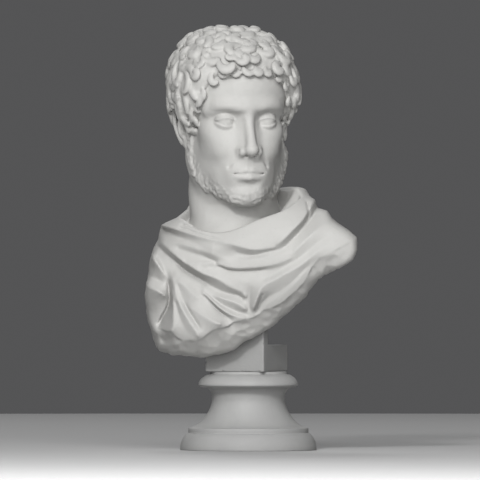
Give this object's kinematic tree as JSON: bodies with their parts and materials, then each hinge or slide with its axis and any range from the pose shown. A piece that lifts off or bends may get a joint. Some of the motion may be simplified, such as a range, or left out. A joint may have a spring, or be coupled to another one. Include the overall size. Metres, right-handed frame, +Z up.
{
  "type": "portrait bust on a socle",
  "caption": "Marble portrait bust of a curly-haired, bearded man in a draped cloak, hollowed at the back and set on a square block over a round moulded socle.",
  "frame": {"origin": "on the socle's axis at its underside", "axes": "+Z up; -Y is the side that the support block's front and the chest face; +X is the figure's left, and the head turns towards it"},
  "size_m": [0.3565, 0.2448, 0.6509],
  "materials": {
    "bust": "honed",
    "support_block": "honed",
    "socle": "honed"
  },
  "bodies": {
    "root": {"bust": "bust", "support_block": "support_block", "socle": "socle"}
  },
  "joints": []
}
